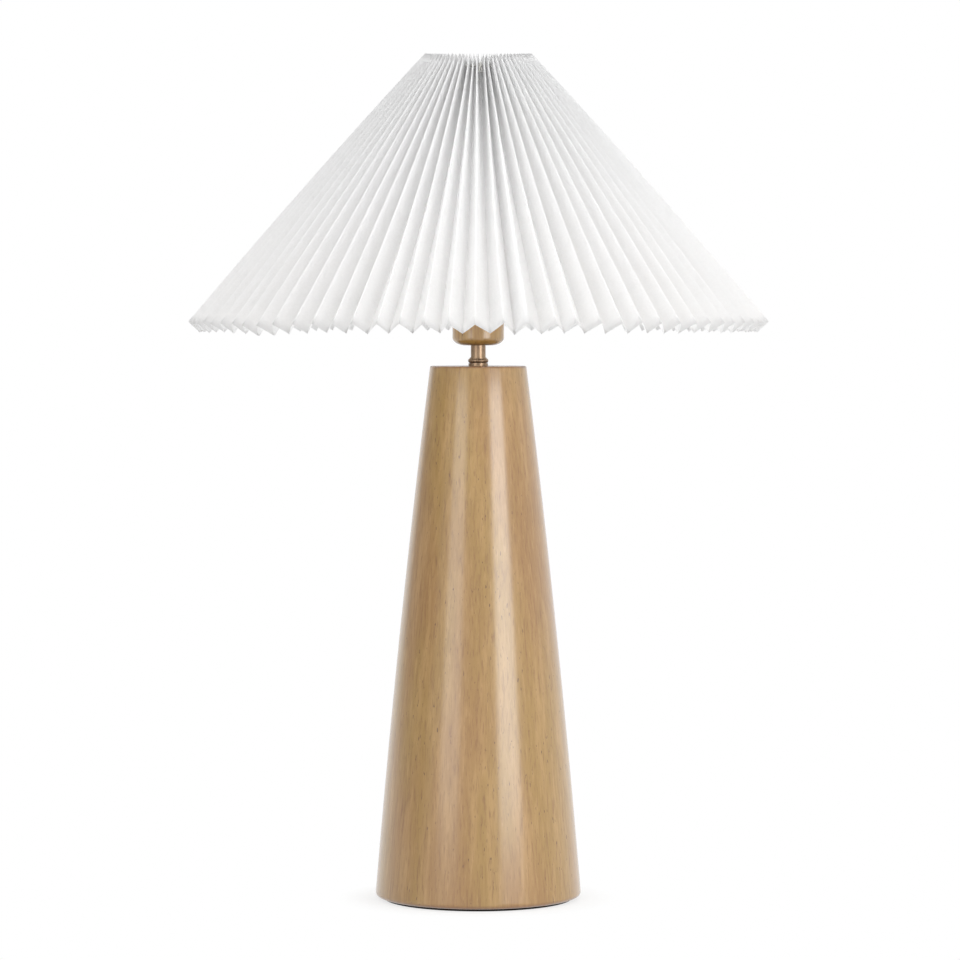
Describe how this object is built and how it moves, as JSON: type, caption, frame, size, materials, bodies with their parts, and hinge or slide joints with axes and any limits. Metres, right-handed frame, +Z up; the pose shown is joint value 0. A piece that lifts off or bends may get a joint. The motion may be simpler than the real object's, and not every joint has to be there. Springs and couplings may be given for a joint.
{
  "type": "pleated paper table lamp",
  "caption": "Table lamp with a turned wooden cone body, a short brass neck and a wide pleated paper shade clamped on the lamp holder.",
  "frame": {"origin": "on the lamp's axis, at the underside of the felt pad", "axes": "+Z up the lamp's axis, +Y to the back, where the cord's inlet is, so that -Y is the front"},
  "size_m": [0.4596, 0.4596, 0.675],
  "materials": {
    "oiled_wood": "satin lacquer",
    "plywood": "raw",
    "felt": "matt felt",
    "board": "matt",
    "ballast_iron": "rough cast",
    "black_rubber": "matt",
    "zinc_steel": "zinc plated",
    "antique_brass": "antique, satin",
    "bright_brass": "bright",
    "holder_plastic": "moulded, semi gloss",
    "terminal_plastic": "moulded",
    "solder": "soldered",
    "bulb_insulation": "glassy",
    "bulb_metal": "rolled",
    "bulb_glass": "frosted white",
    "shade_paper": "matt, fibrous",
    "lace_cotton": "twisted cotton",
    "white_wire": "white enamel",
    "lead_brown": "insulated wire",
    "lead_blue": "insulated wire"
  },
  "bodies": {
    "stand": {"wood_body": "oiled_wood", "wood_cup": "oiled_wood", "felt_pad": "felt", "bottom_cover": "board", "base_plate": "plywood", "base_screws": "zinc_steel", "ballast": "ballast_iron", "cord_bush": "black_rubber", "threaded_tube": "zinc_steel", "lower_washer": "zinc_steel", "lower_nut": "zinc_steel", "upper_washer": "zinc_steel", "upper_nut": "zinc_steel", "seat_ring": "antique_brass", "neck_tube": "antique_brass", "holder_cap": "holder_plastic", "holder_body": "holder_plastic", "screw_shell": "bright_brass", "centre_contact": "bright_brass", "switch_terminals": "bright_brass", "terminal_screws": "zinc_steel", "switch_block": "terminal_plastic", "switch_collar": "bright_brass", "terminal_block": "terminal_plastic", "block_screws": "bright_brass", "lead_live": "lead_brown", "lead_neutral": "lead_blue"},
    "switch_key": {"switch_rotor": "terminal_plastic", "switch_spindle": "bright_brass", "switch_knob": "holder_plastic"},
    "clamp_washer": {"slip_washer": "zinc_steel"},
    "clamp_ring_body": {"clamp_ring": "holder_plastic"},
    "bulb_contact": {"bulb_tip": "solder"},
    "bulb": {"bulb_insulator": "bulb_insulation", "bulb_cap": "bulb_metal", "bulb_glass": "bulb_glass"},
    "shade": {"pleated_sheet": "shade_paper", "gathering_lace": "lace_cotton", "top_ring": "white_wire", "bottom_ring": "white_wire", "carrier_ring": "white_wire", "frame_rib_1": "white_wire", "frame_rib_2": "white_wire", "frame_rib_3": "white_wire", "frame_rib_4": "white_wire", "frame_rib_5": "white_wire", "frame_rib_6": "white_wire", "carrier_arm_1": "white_wire", "carrier_arm_2": "white_wire", "carrier_arm_3": "white_wire"}
  },
  "joints": [
    {"name": "switch_turn", "type": "hinge", "parent": "stand", "child": "switch_key", "pos_m": [0, 0, 0.476], "axis": [0, -1, 0], "continuous": true},
    {"name": "shade_turn", "type": "hinge", "parent": "stand", "child": "shade", "pos_m": [0, 0, 0.48885], "axis": [0, 0, 1], "continuous": true},
    {"name": "clamp_lift", "type": "slide", "parent": "stand", "child": "clamp_washer", "axis": [0, 0, 1], "range_m": [0, 0.0151]},
    {"name": "clamp_turn", "type": "hinge", "parent": "clamp_washer", "child": "clamp_ring_body", "pos_m": [0, 0, 0.4908], "axis": [0, 0, 1], "range_deg": [0, 2160]},
    {"name": "bulb_lift", "type": "slide", "parent": "stand", "child": "bulb_contact", "axis": [0, 0, 1], "range_m": [0, 0.0182]},
    {"name": "bulb_turn", "type": "hinge", "parent": "bulb_contact", "child": "bulb", "pos_m": [0, 0, 0.488], "axis": [0, 0, 1], "range_deg": [0, 1800]}
  ],
  "couplings": [
    {"joint": "clamp_lift", "follows": "clamp_turn", "m_per_rad": 0.00039789},
    {"joint": "bulb_lift", "follows": "bulb_turn", "m_per_rad": 0.00057773}
  ]
}
